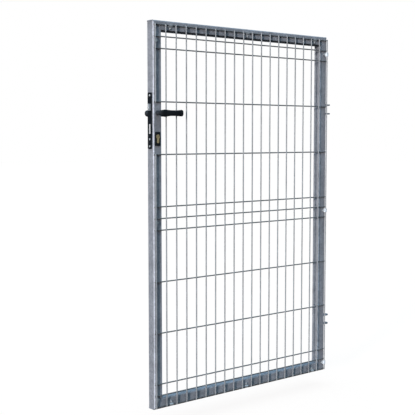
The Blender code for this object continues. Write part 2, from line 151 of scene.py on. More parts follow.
def skin(builder, rings):
    """Joins each ring of corners to the next one with faces."""
    for here, there in zip(rings, rings[1:]):
        for index in range(len(here)):
            after = (index + 1) % len(here)
            builder.faces.new((here[index], here[after], there[after], there[index]))


def make_prism(name, outline, axis, start, end):
    """An outline drawn out along X, Y or Z. Its two values are the other two axes."""
    builder = bmesh.new()
    corners = []
    for a, b in outline:
        spot = {"X": (start, a, b), "Y": (a, start, b), "Z": (a, b, start)}[axis]
        corners.append(builder.verts.new(spot))
    grown = bmesh.ops.extrude_face_region(builder, geom=[builder.faces.new(corners)])
    drawn = [item for item in grown["geom"] if isinstance(item, bmesh.types.BMVert)]
    step = end - start
    draw = {"X": (step, 0, 0), "Y": (0, step, 0), "Z": (0, 0, step)}[axis]
    bmesh.ops.translate(builder, verts=drawn, vec=draw)
    return make_piece(name, builder)


def ease_edges(piece, width, segments=3, sharper_than=40):
    """Rounds a piece's edges a little, as deburring, coating or moulding leaves them."""
    bevel = piece.modifiers.new("eased", "BEVEL")
    bevel.width = width
    bevel.segments = segments
    bevel.limit_method = "ANGLE"
    bevel.angle_limit = radians(sharper_than)
    bevel.harden_normals = True
    settle(piece)


def carve(piece, *cutters):
    """Takes the cutters' shapes out of a piece and clears the cutters away."""
    for cutter in cutters:
        modifier = piece.modifiers.new("carved", "BOOLEAN")
        modifier.object = cutter
    settle(piece)
    smooth_over(piece, sharp_angle=30)
    for cutter in cutters:
        bpy.data.objects.remove(cutter)


def dress(piece, body, slot, material, *stands_for):
    """Gives a finished piece its material and its body, and hides the solids it stands for."""
    piece.data.materials.clear()
    piece.data.materials.append(material)
    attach(piece, body)
    if stands_for:
        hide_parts(*stands_for)


def add_node(tree, kind, sockets=None, **settings):
    """One node. A socket, by its name or number, gets a value or another node's output."""
    made = tree.nodes.new(kind)
    for name, value in settings.items():
        setattr(made, name, value)
    for name, value in (sockets or {}).items():
        if isinstance(value, bpy.types.NodeSocket):
            tree.links.new(value, made.inputs[name])
        else:
            made.inputs[name].default_value = value
    return made


def new_finish(name, roughness, metallic, gloss=0.0):
    """A material with its shader, and the object coordinates that its pattern follows."""
    material = bpy.data.materials.new(name)
    material.use_nodes = True
    tree = material.node_tree
    shader = tree.nodes["Principled BSDF"]
    shader.inputs["Roughness"].default_value = roughness
    shader.inputs["Metallic"].default_value = metallic
    shader.inputs["Specular IOR Level"].default_value = gloss
    place = add_node(tree, "ShaderNodeTexCoord").outputs["Object"]
    return material, tree, shader, place


def noise(tree, place, per_metre, detail):
    sockets = {"Vector": place, "Scale": per_metre, "Detail": detail}
    return add_node(tree, "ShaderNodeTexNoise", sockets).outputs["Fac"]


def ramp_value(tree, value, low, high, from_low=0.0, from_high=1.0):
    sockets = {"Value": value, "From Min": from_low, "From Max": from_high,
               "To Min": low, "To Max": high}
    return add_node(tree, "ShaderNodeMapRange", sockets).outputs["Result"]


def mottled(tree, pattern, low, high):
    """Low to high for a noise pattern, whose values mostly lie from 0.3 to 0.7."""
    return ramp_value(tree, pattern, low, high, 0.3, 0.7)


def work_out(tree, operation, *values):
    """The result of a sum, a product or another operation on one to three values."""
    sockets = dict(enumerate(values))
    return add_node(tree, "ShaderNodeMath", sockets, operation=operation).outputs[0]


def set_surface(tree, shader, colour, shade, dullness, height, depth, strength=0.5):
    """Gives a shader its colour, made lighter or darker by a shade round 1, its dullness
    and its relief."""
    sockets = {0: colour, "Scale": shade}
    shaded = add_node(tree, "ShaderNodeVectorMath", sockets, operation="SCALE")
    sockets = {"Height": height, "Distance": depth, "Strength": strength}
    bump = add_node(tree, "ShaderNodeBump", sockets)
    tree.links.new(shaded.outputs["Vector"], shader.inputs["Base Color"])
    tree.links.new(dullness, shader.inputs["Roughness"])
    tree.links.new(bump.outputs["Normal"], shader.inputs["Normal"])


def add_painted_light(tree, value, gain):
    """A value raised by a painted highlight or lowered by a painted shade, as the mesh's bright
    attribute says, from 1 to -1.
    """
    bright = add_node(tree, "ShaderNodeAttribute", attribute_name="bright").outputs["Fac"]
    factor = ramp_value(tree, bright, 1.0 - gain, 1.0 + gain, -1.0, 1.0)
    return work_out(tree, "MULTIPLY", value, factor)


def galvanised_finish(name, colour, roughness, metallic, crystals_per_metre, gain=CORNER_PAINTED_LIGHT_GAIN):
    """Zinc crystals of different greys, clouds where the bath drained, a fine grain, and the painted
    highlight or painted shade that the bright attribute carries.
    """
    material, tree, shader, place = new_finish(name, roughness, metallic)
    sockets = {"Vector": place, "Scale": crystals_per_metre, "Randomness": 1.0}
    crystals = add_node(tree, "ShaderNodeTexVoronoi", sockets, feature="F1")
    chance = add_node(tree, "ShaderNodeSeparateColor", {"Color": crystals.outputs["Color"]})
    crystal_grey = ramp_value(tree, chance.outputs["Red"], 0.86, 1.13)
    cloud_grey = mottled(tree, noise(tree, place, 22, 4), 0.86, 1.14)
    grain = noise(tree, place, 900, 2)
    grain_grey = mottled(tree, grain, 0.93, 1.07)
    grey = work_out(tree, "MULTIPLY", crystal_grey, cloud_grey)
    grey = add_painted_light(tree, work_out(tree, "MULTIPLY", grey, grain_grey), gain)
    dullness = ramp_value(tree, chance.outputs["Green"], roughness - 0.05, roughness + 0.06)
    height = work_out(tree, "ADD", crystals.outputs["Distance"], grain)
    set_surface(tree, shader, colour, grey, dullness, height, 0.00012)
    return material


def corner_painted_light(inward, across, share):
    """Painted light along a tube's rounded corners: a painted highlight along an upright tube's
    corners, and a painted shade along a rail's lower corners."""
    rounding = 1 - abs(2 * share - 1)
    if inward.z == 0:
        return rounding ** 2
    return -LOWER_CORNER_PAINTED_SHADE * rounding if inward.z * across < 0 else 0.0


def mitred_tube(name, corner, along, inward, length):
    """A tube from one outer corner of the leaf to the next. The mitre shortens it by as
    much as a point lies inward."""
    outline = rounded_rectangle(tube_side, tube_side, TUBE_CORNER)
    bore_side = tube_side - 2 * TUBE_WALL
    bore = rounded_rectangle(bore_side, bore_side, TUBE_CORNER - TUBE_WALL)
    builder = bmesh.new()
    bright = builder.verts.layers.float.new("bright")
    loops = []
    for profile in (outline, bore):
        near = []
        far = []
        for index, (across, deep) in enumerate(profile):
            inset = tube_side / 2 + across
            place = corner + inward * inset + Vector((0, deep, 0))
            near.append(builder.verts.new(place + along * (inset + MITRE_GAP / 2)))
            far.append(builder.verts.new(place + along * (length - inset - MITRE_GAP / 2)))
            # Each corner point carries its painted highlight or painted shade.
            near[-1][bright] = corner_painted_light(inward, across, index % (ARC_STEPS + 1) / ARC_STEPS)
            far[-1][bright] = near[-1][bright]
        skin(builder, (near, far))
        loops.append((near, far))
    for end in (0, 1):
        skin(builder, (loops[0][end], loops[1][end]))
    return make_piece(name, builder)


def profile_outline(extra=0.0, steps=48):
    """The cylinder's outline as (x, z): a round top, a straight web and a round foot."""
    radius = profile_radius + extra
    half = (cylinder_high.x - cylinder_low.x) * PROFILE_WEB_SHARE / 2 + extra
    foot_z = cylinder_low.z - cylinder_z + half - extra
    join = -degrees(acos(half / radius))
    points = arc(0, 0, radius, join, 180 - join, steps)
    points += arc(0, foot_z, half, 180, 360, steps // 3)
    return moved(points, axis_x, cylinder_z)


zinc = galvanised_finish("galvanised_tube", ZINC_GREY, roughness=0.34, metallic=0.02,
                         crystals_per_metre=150)
right = Vector((1, 0, 0))
up = Vector((0, 0, 1))
lower_left = Vector((leaf_left, 0, leaf_bottom))
upper_left = Vector((leaf_left, 0, leaf_top))
lower_right = Vector((leaf_right, 0, leaf_bottom))
leaf_width = leaf_right - leaf_left
leaf_height = leaf_top - leaf_bottom
cut_front = front_face - TUBE_WALL
cut_rear = rear_face + TUBE_WALL
slot_outline = box_outline("lock_case", SLOT_CORNER, CUT_GAP)
slot_cutter = make_prism("slot_cutter", slot_outline, "X",
                         leaf_left - TUBE_WALL, leaf_left + 2 * TUBE_WALL)
hole_outline = circle(axis_x, handle_z, SPINDLE_HOLE_RADIUS, 36)
hole_cutter = make_prism("hole_cutter", hole_outline, "Y", cut_front, cut_rear)
profile_cutter = make_prism("profile_cutter", profile_outline(CUT_GAP), "Y", cut_front, cut_rear)
tubes = {
    "top_rail": (upper_left, right, -up, leaf_width),
    "bottom_rail": (lower_left, right, up, leaf_width),
    "hinge_stile": (lower_right, up, -right, leaf_height),
    "lock_stile": (lower_left, up, right, leaf_height),
}
for node, (corner, along, inward, length) in tubes.items():
    tube = mitred_tube("frame_" + node, corner, along, inward, length)
    if node == "lock_stile":
        carve(tube, slot_cutter, hole_cutter, profile_cutter)
    dress(tube, "leaf", "galvanised_tube", zinc, node)


# Welds of the frame: a bead all round each mitre. It is ground nearly flush on the front,
# where the mesh lies, and left as welded on the other three sides.

BEAD_RADIUS = 0.0030
BEAD_PROUD = 0.0009
GROUND_PROUD = 0.00015
BEAD_SIDES = 12
RIPPLE_PITCH = 0.0016
RIPPLE_STEP = 0.25
MITRE_RIPPLE = 0.06


def new_shape_tree(name, sizes):
    """A Geometry Nodes tree with named inputs. Returns it, its inputs and its outlet."""
    tree = bpy.data.node_groups.new(name, "GeometryNodeTree")
    tree.interface.new_socket("Guide", in_out="INPUT", socket_type="NodeSocketGeometry")
    tree.interface.new_socket("Shape", in_out="OUTPUT", socket_type="NodeSocketGeometry")
    for label, kind in sizes.items():
        tree.interface.new_socket(label, in_out="INPUT", socket_type="NodeSocket" + kind)
    inlet = tree.nodes.new("NodeGroupInput")
    outlet = tree.nodes.new("NodeGroupOutput")
    return tree, inlet.outputs, outlet.inputs["Shape"]


def sweep(tree, line, sides, radius, size=1.0):
    """A round section drawn along a line, closed at both ends."""
    rim = add_node(tree, "GeometryNodeCurvePrimitiveCircle", {"Resolution": sides, "Radius": radius})
    sockets = {"Curve": line.outputs["Curve"], "Profile Curve": rim.outputs["Curve"],
               "Scale": size, "Fill Caps": True}
    return add_node(tree, "GeometryNodeCurveToMesh", sockets).outputs["Mesh"]


def hand_out(tree, geometry, inputs, outlet):
    """Ends a tree: its geometry gets the finish and goes to the outlet."""
    sockets = {"Geometry": geometry, "Material": inputs["Finish"]}
    painted = add_node(tree, "GeometryNodeSetMaterial", sockets)
    tree.links.new(painted.outputs["Geometry"], outlet)


def grow(guide, tree, sizes):
    """Runs a tree on a guide and keeps the result as the guide's plain mesh."""
    modifier = guide.modifiers.new(tree.name, "NODES")
    modifier.node_group = tree
    for socket in tree.interface.items_tree:
        if socket.in_out == "INPUT" and socket.name in sizes:
            modifier[socket.identifier] = sizes[socket.name]
    settle(guide)


def make_guide(name, points, edges=(), turns=None):
    """Points and lines that a tree follows. A turn is a rotation about Y at its point."""
    mesh = bpy.data.meshes.new(name)
    mesh.from_pydata(points, edges, [])
    if turns is not None:
        rotation = mesh.attributes.new("turn", "FLOAT_VECTOR", "POINT")
        for index, angle in enumerate(turns):
            rotation.data[index].vector = (0, angle, 0)
    guide = bpy.data.objects.new(name, mesh)
    bpy.context.scene.collection.objects.link(guide)
    return guide


def weld_bead_tree():
    """A round bead along each line, whose radius swells with each drop of the weld."""
    sizes = {"Bead Radius": "Float", "Ripple Pitch": "Float", "Ripple": "Float",
             "Finish": "Material"}
    tree, inputs, outlet = new_shape_tree("weld_bead", sizes)
    line = add_node(tree, "GeometryNodeMeshToCurve", {"Mesh": inputs["Guide"]})
    step = work_out(tree, "MULTIPLY", inputs["Ripple Pitch"], RIPPLE_STEP)
    fine = add_node(tree, "GeometryNodeResampleCurve",
                    {"Curve": line.outputs["Curve"], "Length": step}, mode="LENGTH")
    run = add_node(tree, "GeometryNodeSplineParameter").outputs["Length"]
    drops = work_out(tree, "DIVIDE", run, inputs["Ripple Pitch"])
    wave = work_out(tree, "SINE", work_out(tree, "MULTIPLY", drops, pi))
    swell = work_out(tree, "ABSOLUTE", wave)
    size = work_out(tree, "MULTIPLY_ADD", swell, inputs["Ripple"], 1.0)
    bead = sweep(tree, fine, BEAD_SIDES, inputs["Bead Radius"], size)
    smooth = add_node(tree, "GeometryNodeSetShadeSmooth", {"Geometry": bead})
    hand_out(tree, smooth.outputs["Geometry"], inputs, outlet)
    return tree


def lay_welds(name, points, edges, radius, ripple, slot):
    """Beads along the lines between the points, galvanised with the leaf."""
    welds = make_guide(name, points, edges)
    grow(welds, bead_tree, {"Bead Radius": radius, "Ripple Pitch": RIPPLE_PITCH,
                            "Ripple": ripple, "Finish": weld_zinc})
    dress(welds, "leaf", slot, weld_zinc)


weld_zinc = galvanised_finish("galvanised_weld", ZINC_GREY, roughness=0.40, metallic=0.04,
                              crystals_per_metre=420)
bead_tree = weld_bead_tree()
bead_points = []
bead_edges = []
proud_sink = BEAD_RADIUS - BEAD_PROUD
ground_sink = BEAD_RADIUS - GROUND_PROUD
bead_outline = rounded_rectangle(tube_side - 2 * proud_sink, tube_side - proud_sink - ground_sink,
                                 TUBE_CORNER - proud_sink)
front_shift = (ground_sink - proud_sink) / 2
upper_right = lower_right + up * leaf_height
for corner, along, inward in ((upper_left, right, -up), (lower_left, right, up),
                              (lower_right, -right, up), (upper_right, -right, -up)):
    start = len(bead_points)
    for across, deep in bead_outline:
        inset = tube_side / 2 + across
        bead_points.append(corner + (inward + along) * inset + Vector((0, deep + front_shift, 0)))
    count = len(bead_outline)
    bead_edges += [(start + index, start + (index + 1) % count) for index in range(count)]
lay_welds("frame_welds", bead_points, bead_edges, BEAD_RADIUS, MITRE_RIPPLE, "galvanised_tube")


# Wire mesh: 20 upright wires of 5 mm in front of 13 rail wires, resistance-welded where
# they cross and galvanised. Each weld squeezes a small rim of steel out round the joint.

WIRE = 0.005
WELD_SINK = 0.0004
WIRE_OVERHANG = 0.0035
UPRIGHT_WIRES = 20
CLOSE_SPACING = 0.045
RAIL_PATTERN = "CCOOOCCOOOCC"
WIRE_SIDES = 16
NUGGET = 0.0019
NUGGET_RIM = 0.00247
NUGGET_SPREAD = 0.15
NUGGET_SEED = 4
# The wire grey is set darker than the tube's zinc, as painted shade on the rail wires; the upright
# wires get a painted highlight over it by this gain.
SHADED_WIRE_GREY = (0.174, 0.176, 0.181)
UPRIGHT_HIGHLIGHT_GAIN = 1.1

mesh_low, mesh_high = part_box("mesh_panel")
mesh_left = mesh_low.x + WIRE_OVERHANG
mesh_right = mesh_high.x - WIRE_OVERHANG
mesh_bottom = mesh_low.z + WIRE_OVERHANG
mesh_top = mesh_high.z - WIRE_OVERHANG
rail_wire_y = mesh_high.y - WIRE / 2
upright_wire_y = rail_wire_y - WIRE + WELD_SINK


def rail_wire_heights():
    """From the bottom up: three groups of close wires with open fields between them."""
    spare = mesh_top - mesh_bottom - RAIL_PATTERN.count("C") * CLOSE_SPACING
    open_spacing = spare / RAIL_PATTERN.count("O")
    heights = [mesh_bottom]
    for mark in RAIL_PATTERN:
        heights.append(heights[-1] + (CLOSE_SPACING if mark == "C" else open_spacing))
    return heights


def wire_tree():
    """A round wire along each line, cut off square at its ends."""
    sizes = {"Wire Radius": "Float", "Sides": "Int", "Finish": "Material"}
    tree, inputs, outlet = new_shape_tree("drawn_wire", sizes)
    line = add_node(tree, "GeometryNodeMeshToCurve", {"Mesh": inputs["Guide"]})
    wire = sweep(tree, line, inputs["Sides"], inputs["Wire Radius"])
    hand_out(tree, wire, inputs, outlet)
    return tree


def set_out_tree():
    """Sets a part at each point, turned as the point says, each a little different."""
    sizes = {"Part": "Object", "Size Spread": "Float", "Seed": "Int", "Finish": "Material"}
    tree, inputs, outlet = new_shape_tree("set_out", sizes)
    part = add_node(tree, "GeometryNodeObjectInfo", {"Object": inputs["Part"]})
    turn = add_node(tree, "GeometryNodeInputNamedAttribute", {"Name": "turn"},
                    data_type="FLOAT_VECTOR")
    rotation = add_node(tree, "FunctionNodeEulerToRotation", {"Euler": turn.outputs["Attribute"]})
    smallest = work_out(tree, "SUBTRACT", 1.0, inputs["Size Spread"])
    largest = work_out(tree, "ADD", 1.0, inputs["Size Spread"])
    size = add_node(tree, "FunctionNodeRandomValue",
                    {2: smallest, 3: largest, "Seed": inputs["Seed"]}, data_type="FLOAT")
    placed = add_node(tree, "GeometryNodeInstanceOnPoints",
                      {"Points": inputs["Guide"], "Instance": part.outputs["Geometry"],
                       "Rotation": rotation.outputs["Rotation"], "Scale": size.outputs[1]})
    real = add_node(tree, "GeometryNodeRealizeInstances", {"Geometry": placed.outputs["Instances"]})
    hand_out(tree, real.outputs["Geometry"], inputs, outlet)
    return tree


def set_out(name, part, points, turns, finish, size_spread=0.0, seed=1):
    """One mesh of a part at many points. The part itself is cleared away."""
    guide = make_guide(name, points, turns=turns)
    grow(guide, parts_tree,
         {"Part": part, "Size Spread": size_spread, "Seed": seed, "Finish": finish})
    bpy.data.objects.remove(part)
    return guide


parts_tree = set_out_tree()
wire_zinc = galvanised_finish("galvanised_wire", SHADED_WIRE_GREY, roughness=0.34, metallic=0.04,
                              crystals_per_metre=300, gain=UPRIGHT_HIGHLIGHT_GAIN)
lock_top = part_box("lever_front")[1].z
lock_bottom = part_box("cylinder_plate_front")[0].z
heights = rail_wire_heights()
pitch = (mesh_right - mesh_left) / (UPRIGHT_WIRES - 1)
uprights = [mesh_left + pitch * index for index in range(UPRIGHT_WIRES)]
above_lock = [z for z in heights if z > lock_top][0]
below_lock = [z for z in heights if z < lock_bottom][-1]
wire_points = []
crossings = []
crossing_y = (upright_wire_y + rail_wire_y) / 2
for index, x in enumerate(uprights):
    spans = [(mesh_low.z, mesh_high.z)]
    if index == 0:
        spans = [(mesh_low.z, below_lock + WIRE_OVERHANG), (above_lock - WIRE_OVERHANG, mesh_high.z)]
    for bottom, top in spans:
        wire_points += [(x, upright_wire_y, bottom), (x, upright_wire_y, top)]
        crossings += [(x, crossing_y, z) for z in heights if bottom < z < top]
upright_ends = len(wire_points)
for z in heights:
    wire_points += [(mesh_low.x, rail_wire_y, z), (mesh_high.x, rail_wire_y, z)]
wire_edges = [(index, index + 1) for index in range(0, len(wire_points), 2)]
wire_mesh = make_guide("wire_mesh", wire_points, wire_edges)
# The upright wires' points carry the painted highlight.
upright_highlight = wire_mesh.data.attributes.new("bright", "FLOAT", "POINT")
for index in range(upright_ends):
    upright_highlight.data[index].value = 1.0
grow(wire_mesh, wire_tree(), {"Wire Radius": WIRE / 2, "Sides": WIRE_SIDES, "Finish": wire_zinc})
wire_mesh.data.shade_smooth()
wire_mesh.data.set_sharp_from_angle(angle=radians(40))
dress(wire_mesh, "leaf", "mesh_wire", wire_zinc, "mesh_panel")
rim_builder = bmesh.new()
ball = bmesh.ops.create_uvsphere(rim_builder, u_segments=8, v_segments=5, radius=1.0)
bmesh.ops.scale(rim_builder, verts=ball["verts"], vec=(NUGGET_RIM, NUGGET, NUGGET_RIM))
nugget = make_piece("nugget", rim_builder, sharp_angle=180)
unturned = [0.0] * len(crossings)
wire_welds = set_out("wire_welds", nugget, crossings, unturned, wire_zinc,
                     NUGGET_SPREAD, NUGGET_SEED)
dress(wire_welds, "leaf", "mesh_wire", wire_zinc)


# Clips: twelve bent strips of zinc-plated sheet steel. The foot narrows to a round end
# and is screwed to the tube, and the hook goes over the mesh's outermost wire.

CLIP_WIDTH = 0.016
CLIP_SHEET = 0.0015
CLIP_FOOT = 0.013
CLIP_FOOT_END = 0.008
CLIP_SHOULDER = 0.003
CLIP_LIP = 0.003
CLIP_BEND = 0.0016
CLIP_EDGE = 0.0003
CLIP_GAP = 0.0003
CLIP_GREY = (0.29, 0.31, 0.33)
# Painted highlight on the clips' risers and crowns, in place of the glints of light on their bends.
BEND_HIGHLIGHT_GAIN = 2.2
RISER_HIGHLIGHT = {"rail": 0.5, "lock": 1.0, "hinge": 1.0}
CROWN_HIGHLIGHT = {"rail": 0.0, "lock": 0.0, "hinge": 0.6}


def plated_finish(name, colour, roughness, grain_per_metre):
    """Zinc plating: a thin cloudy film over steel with a fine rolled grain, and a painted highlight
    where the bright attribute is set, on a clip's riser and crown."""
    material, tree, shader, place = new_finish(name, roughness, 0.10, 0.3)
    film = mottled(tree, noise(tree, place, 120, 3), 0.86, 1.10)
    shade = add_painted_light(tree, film, BEND_HIGHLIGHT_GAIN)
    grain = noise(tree, place, grain_per_metre, 2)
    dullness = mottled(tree, grain, roughness - 0.06, roughness + 0.10)
    set_surface(tree, shader, colour, shade, dullness, grain, 0.00003)
    return material


def rounded_path(corners, radius, steps=6):
    """The corners joined by straight runs, each inner corner turned as an arc."""
    path = [Vector(corners[0])]
    for before, here, after in zip(corners, corners[1:], corners[2:]):
        here = Vector(here)
        back = (Vector(before) - here).normalized()
        ahead = (Vector(after) - here).normalized()
        half = back.angle(ahead) / 2
        middle = here + (back + ahead).normalized() * radius / sin(half)
        first = here + back * radius / tan(half)
        last = here + ahead * radius / tan(half)
        for step in range(steps + 1):
            spoke = (first - middle).lerp(last - middle, step / steps).normalized()
            path.append(middle + spoke * radius)
    path.append(Vector(corners[-1]))
    return path


def make_clip(name, wire_height, riser_highlight, crown_highlight):
    """The clip for a wire whose centre lies at this height over the tube's face. It
    hooks over the wire towards +Z, with the wire's centre at the origin's Z."""
    half = CLIP_SHEET / 2
    reach = WIRE / 2 / cos(pi / 6) + CLIP_GAP + half
    crown = wire_height + WIRE / 2 + CLIP_GAP + half
    low = CLIP_GAP + half
    foot_end = -reach - half - CLIP_FOOT
    corners = [(foot_end + CLIP_FOOT - CLIP_SHOULDER, low), (-reach, low), (-reach, crown),
               (reach, crown), (reach, crown - CLIP_LIP - half)]
    end_radius = CLIP_FOOT_END / 2
    path = []
    half_widths = []
    for out, half_width in arc(end_radius, 0, end_radius, 170, 90, 5):
        path.append(Vector((foot_end + out, low)))
        half_widths.append(half_width)
    hook = rounded_path(corners, CLIP_BEND)
    half_widths += [CLIP_WIDTH / 2] * len(hook)
    path += hook
    builder = bmesh.new()
    bright = builder.verts.layers.float.new("bright")
    rings = []
    for index, point in enumerate(path):
        before = path[max(index - 1, 0)]
        after = path[min(index + 1, len(path) - 1)]
        along = (after - before).normalized()
        across = Vector((-along.y, along.x)) * half
        ring = []
        for side, shift in ((-1, -across), (1, -across), (1, across), (-1, across)):
            spot = point + shift
            corner = builder.verts.new((side * half_widths[index], -spot.y, spot.x))
            # The riser and the crown carry the painted highlight.
            if -reach - half < point.x < -reach + half:
                corner[bright] = riser_highlight
            elif point.x > -reach:
                corner[bright] = crown_highlight
            ring.append(corner)
        rings.append(ring)
    skin(builder, rings)
    builder.faces.new(rings[0])
    builder.faces.new(rings[-1])
    clip = make_piece(name, builder)
    ease_edges(clip, CLIP_EDGE, segments=2, sharper_than=60)
    return clip


clip_zinc = plated_finish("clip_plating", CLIP_GREY, roughness=0.36, grain_per_metre=1500)
clip_turns = {"top": 0.0, "bottom": pi, "lock": -pi / 2, "hinge": pi / 2}
clip_spots = {"rail": [], "lock": [], "hinge": []}
for node in sorted(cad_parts):
    if "_clip_" in node:
        low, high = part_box(node)
        side = node.split("_")[0]
        x = {"lock": mesh_left, "hinge": mesh_right}.get(side, (low.x + high.x) / 2)
        z = {"top": mesh_top, "bottom": mesh_bottom}.get(side, (low.z + high.z) / 2)
        kind = side if side in clip_spots else "rail"
        clip_spots[kind].append(((x, front_face, z), clip_turns[side], node))
for kind, spots in clip_spots.items():
    points = [spot for spot, turn, node in spots]
    turns = [turn for spot, turn, node in spots]
    wire_height = front_face - (rail_wire_y if kind == "rail" else upright_wire_y)
    clip = make_clip("clip", wire_height, RISER_HIGHLIGHT[kind], CROWN_HIGHLIGHT[kind])
    clips = set_out(kind + "_clips", clip, points, turns, clip_zinc)
    dress(clips, "leaf", "clip_steel", clip_zinc, *[node for spot, turn, node in spots])


# Clip screws: one through each clip's foot into the tube, with a pan head and a cross
# recess, turned from steel wire and zinc-plated.

PAN_RADIUS = 0.0036
PAN_HEIGHT = 0.0023
PAN_FLAT = 0.55
PAN_RIM = 0.45
PAN_PLACE = 0.6
RECESS_SPAN = 0.0038
RECESS_WIDTH = 0.0009
RECESS_DEPTH = 0.0012
TURN_STEP = 0.35
SCREW_GREY = (0.52, 0.54, 0.56)


def turned(name, profile, steps=32):
    """A turned piece on the Y axis. The profile is (radius, y), from the axis round to
    the axis again, and its first and last points lie on it."""
    builder = bmesh.new()
    rings = []
    for radius, y in profile[1:-1]:
        rings.append([])
        for step in range(steps):
            turn = 2 * pi * step / steps
            rings[-1].append(builder.verts.new((radius * cos(turn), y, radius * sin(turn))))
    skin(builder, rings)
    for ring, y in ((rings[0], profile[0][1]), (rings[-1], profile[-1][1])):
        pole = builder.verts.new((0, y, 0))
        for step in range(steps):
            builder.faces.new((ring[step], ring[(step + 1) % steps], pole))
    return make_piece(name, builder)


def cut_cross(screw, face_y):
    """A cross recess in a screw's head, whose face looks towards -Y at face_y."""
    for span, width in ((RECESS_SPAN, RECESS_WIDTH), (RECESS_WIDTH, RECESS_SPAN)):
        bar = rounded_rectangle(span, width, RECESS_WIDTH / 3, 2)
        carve(screw, make_prism("recess", bar, "Y", face_y - RECESS_DEPTH, face_y + RECESS_DEPTH))


plating = plated_finish("screw_plating", SCREW_GREY, roughness=0.30, grain_per_metre=1500)
pan_profile = [(0, 0.0), (PAN_RADIUS * 0.94, 0.0), (PAN_RADIUS, -PAN_HEIGHT * 0.12),
               (PAN_RADIUS, -PAN_HEIGHT * PAN_RIM)]
for share_out, share_tall in arc(0, 0, 1.0, 15, 90, 6):
    pan_profile.append((PAN_RADIUS * (PAN_FLAT + (1 - PAN_FLAT) * share_out),
                        -PAN_HEIGHT * (PAN_RIM + (1 - PAN_RIM) * share_tall)))
pan_profile.append((0, -PAN_HEIGHT))
pan_screw = turned("pan_screw", pan_profile)
cut_cross(pan_screw, -PAN_HEIGHT)
screw_distance = WIRE / 2 / cos(pi / 6) + CLIP_GAP + CLIP_SHEET + CLIP_FOOT
screw_distance -= CLIP_FOOT_END * PAN_PLACE
screw_spots = []
for spots in clip_spots.values():
    for (x, y, z), turn, node in spots:
        screw_spots.append((x - sin(turn) * screw_distance, y - CLIP_GAP - CLIP_SHEET,
                            z - cos(turn) * screw_distance))
screw_turns = [TURN_STEP * index for index in range(len(screw_spots))]
clip_screws = set_out("clip_screws", pan_screw, screw_spots, screw_turns, plating)
dress(clip_screws, "leaf", "clip_steel", plating)


# Forend of the insert lock: a flat steel plate on the stile's outer face, painted black,
# with a window for each bolt and countersunk holes for its screws.

FOREND_CORNER = 0.005
FOREND_EDGE = 0.0005
WINDOW_GAP = 0.0003
WINDOW_CORNER = 0.0006
FIXING_DROP = 1.15
SCREW_HEAD = 0.0039
SCREW_SHANK = 0.0021
SUNK_HOLE = 0.0024
SUNK_DEPTH = 0.0017
SUNK_OUT = 0.0008
SUNK_THROUGH = 0.006
SCREW_END_DISTANCE = 0.0105
BLACK_PAINT = (0.013, 0.016, 0.020)

forend_low, forend_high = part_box("lock_forend")


def painted_finish(name, colour, roughness, grains_per_metre, depth, gain=0.0):
    """Powder coat or moulded plastic: black, with a soft pebbled skin, a little dust, and a painted
    highlight where the bright attribute is set, on a lever's neck.
    """
    material, tree, shader, place = new_finish(name, roughness, 0.0)
    pebbles = noise(tree, place, grains_per_metre, 2)
    dust = ramp_value(tree, noise(tree, place, 60, 4), 0.85, 1.30, 0.35, 0.7)
    shade = add_painted_light(tree, dust, gain)
    dullness = mottled(tree, noise(tree, place, 200, 3), roughness - 0.05, roughness + 0.08)
    set_surface(tree, shader, colour, shade, dullness, pebbles, depth, 0.6)
    return material


black_paint = painted_finish("black_powder_coat", BLACK_PAINT, roughness=0.42,
                             grains_per_metre=1100, depth=0.00006)
forend_outline = box_outline("lock_forend", FOREND_CORNER)
forend = make_prism("forend_plate", forend_outline, "X", forend_low.x, forend_high.x)
ease_edges(forend, FOREND_EDGE)
for bolt in ("latch_bolt", "dead_bolt"):
    window = box_outline(bolt, WINDOW_CORNER, WINDOW_GAP, 3)
    carve(forend, make_prism("window", window, "X",
                             forend_low.x - CUT_PAST, forend_high.x + CUT_PAST))
fixing_z = cylinder_z - profile_radius * FIXING_DROP
screw_heights = [forend_low.z + SCREW_END_DISTANCE, fixing_z, forend_high.z - SCREW_END_DISTANCE]
sunk_profile = [(0, -SUNK_OUT), (SCREW_HEAD + CUT_GAP + SUNK_OUT, -SUNK_OUT),
                (SCREW_HEAD + CUT_GAP, 0.0), (SUNK_HOLE, SUNK_DEPTH),
                (SUNK_HOLE, SUNK_THROUGH), (0, SUNK_THROUGH)]
for z in screw_heights:
    hole = turned("hole", sunk_profile)
    for corner in hole.data.vertices:
        across, deep, tall = corner.co
        corner.co = (forend_low.x + deep, across, z + tall)
    hole.data.flip_normals()
    carve(forend, hole)
dress(forend, "leaf", "black_forend", black_paint, "lock_forend")


# Forend screws: two countersunk screws at the ends, and the longer one between them that
# holds the cylinder through its web. All zinc-plated, flush with the plate.

head_profile = [(0, 0.0004), (SCREW_HEAD * 0.55, 0.0002), (SCREW_HEAD * 0.94, 0.0001),
                (SCREW_HEAD, 0.0003), (SCREW_SHANK, SUNK_DEPTH), (SCREW_SHANK, 0.004), (0, 0.004)]
sunk_screw = turned("sunk_screw", head_profile)
cut_cross(sunk_screw, 0.0)
sunk_spots = [(0, 0, z) for z in screw_heights]
sunk_turns = [0.3, 1.1, 0.7]
forend_screws = set_out("forend_screws", sunk_screw, sunk_spots, sunk_turns, plating)
for corner in forend_screws.data.vertices:
    across, deep, tall = corner.co
    corner.co = (forend_low.x + deep, -across, tall)
dress(forend_screws, "leaf", "lock_steel", plating)


# Lock case, bolts and spindle: steel with the fine lines of grinding and drawing, and a
# duller cast latch. Their solids have the true shapes, so they stay and only get the finish.

LOCK_STEEL = (0.56, 0.57, 0.58)
LATCH_STEEL = (0.40, 0.43, 0.465)


